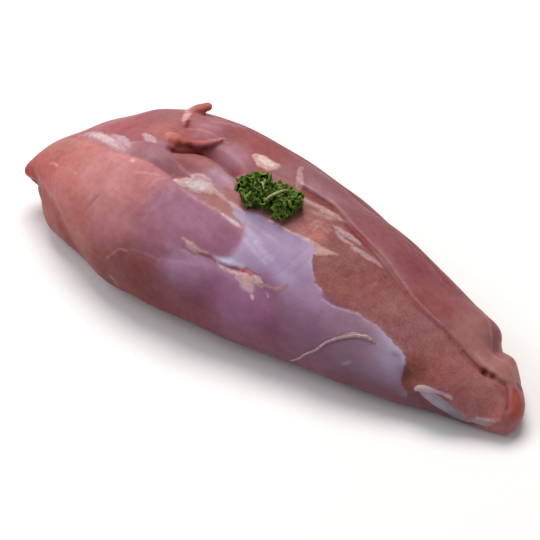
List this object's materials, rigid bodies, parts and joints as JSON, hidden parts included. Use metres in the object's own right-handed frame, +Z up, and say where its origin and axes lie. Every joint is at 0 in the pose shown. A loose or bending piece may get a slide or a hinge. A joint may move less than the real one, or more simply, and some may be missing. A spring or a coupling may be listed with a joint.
{
  "type": "boneless veal shoulder",
  "caption": "Raw boneless veal shoulder, a long tapering cut of meat with its silverskin and fat left on, and a sprig of curly parsley lying on top.",
  "frame": {"origin": "on the surface that the meat lies on, under the middle of its outline", "axes": "+X along the meat from its thick end to its slim end, +Y to its back, +Z up"},
  "size_m": [0.414, 0.155, 0.1142],
  "materials": {
    "veal": "raw pink veal, moist satin, with lilac silverskin and cream fat",
    "parsley": "fresh curly parsley leaf"
  },
  "bodies": {
    "root": {"veal_shoulder": "veal", "parsley_sprig": "parsley"}
  },
  "joints": []
}
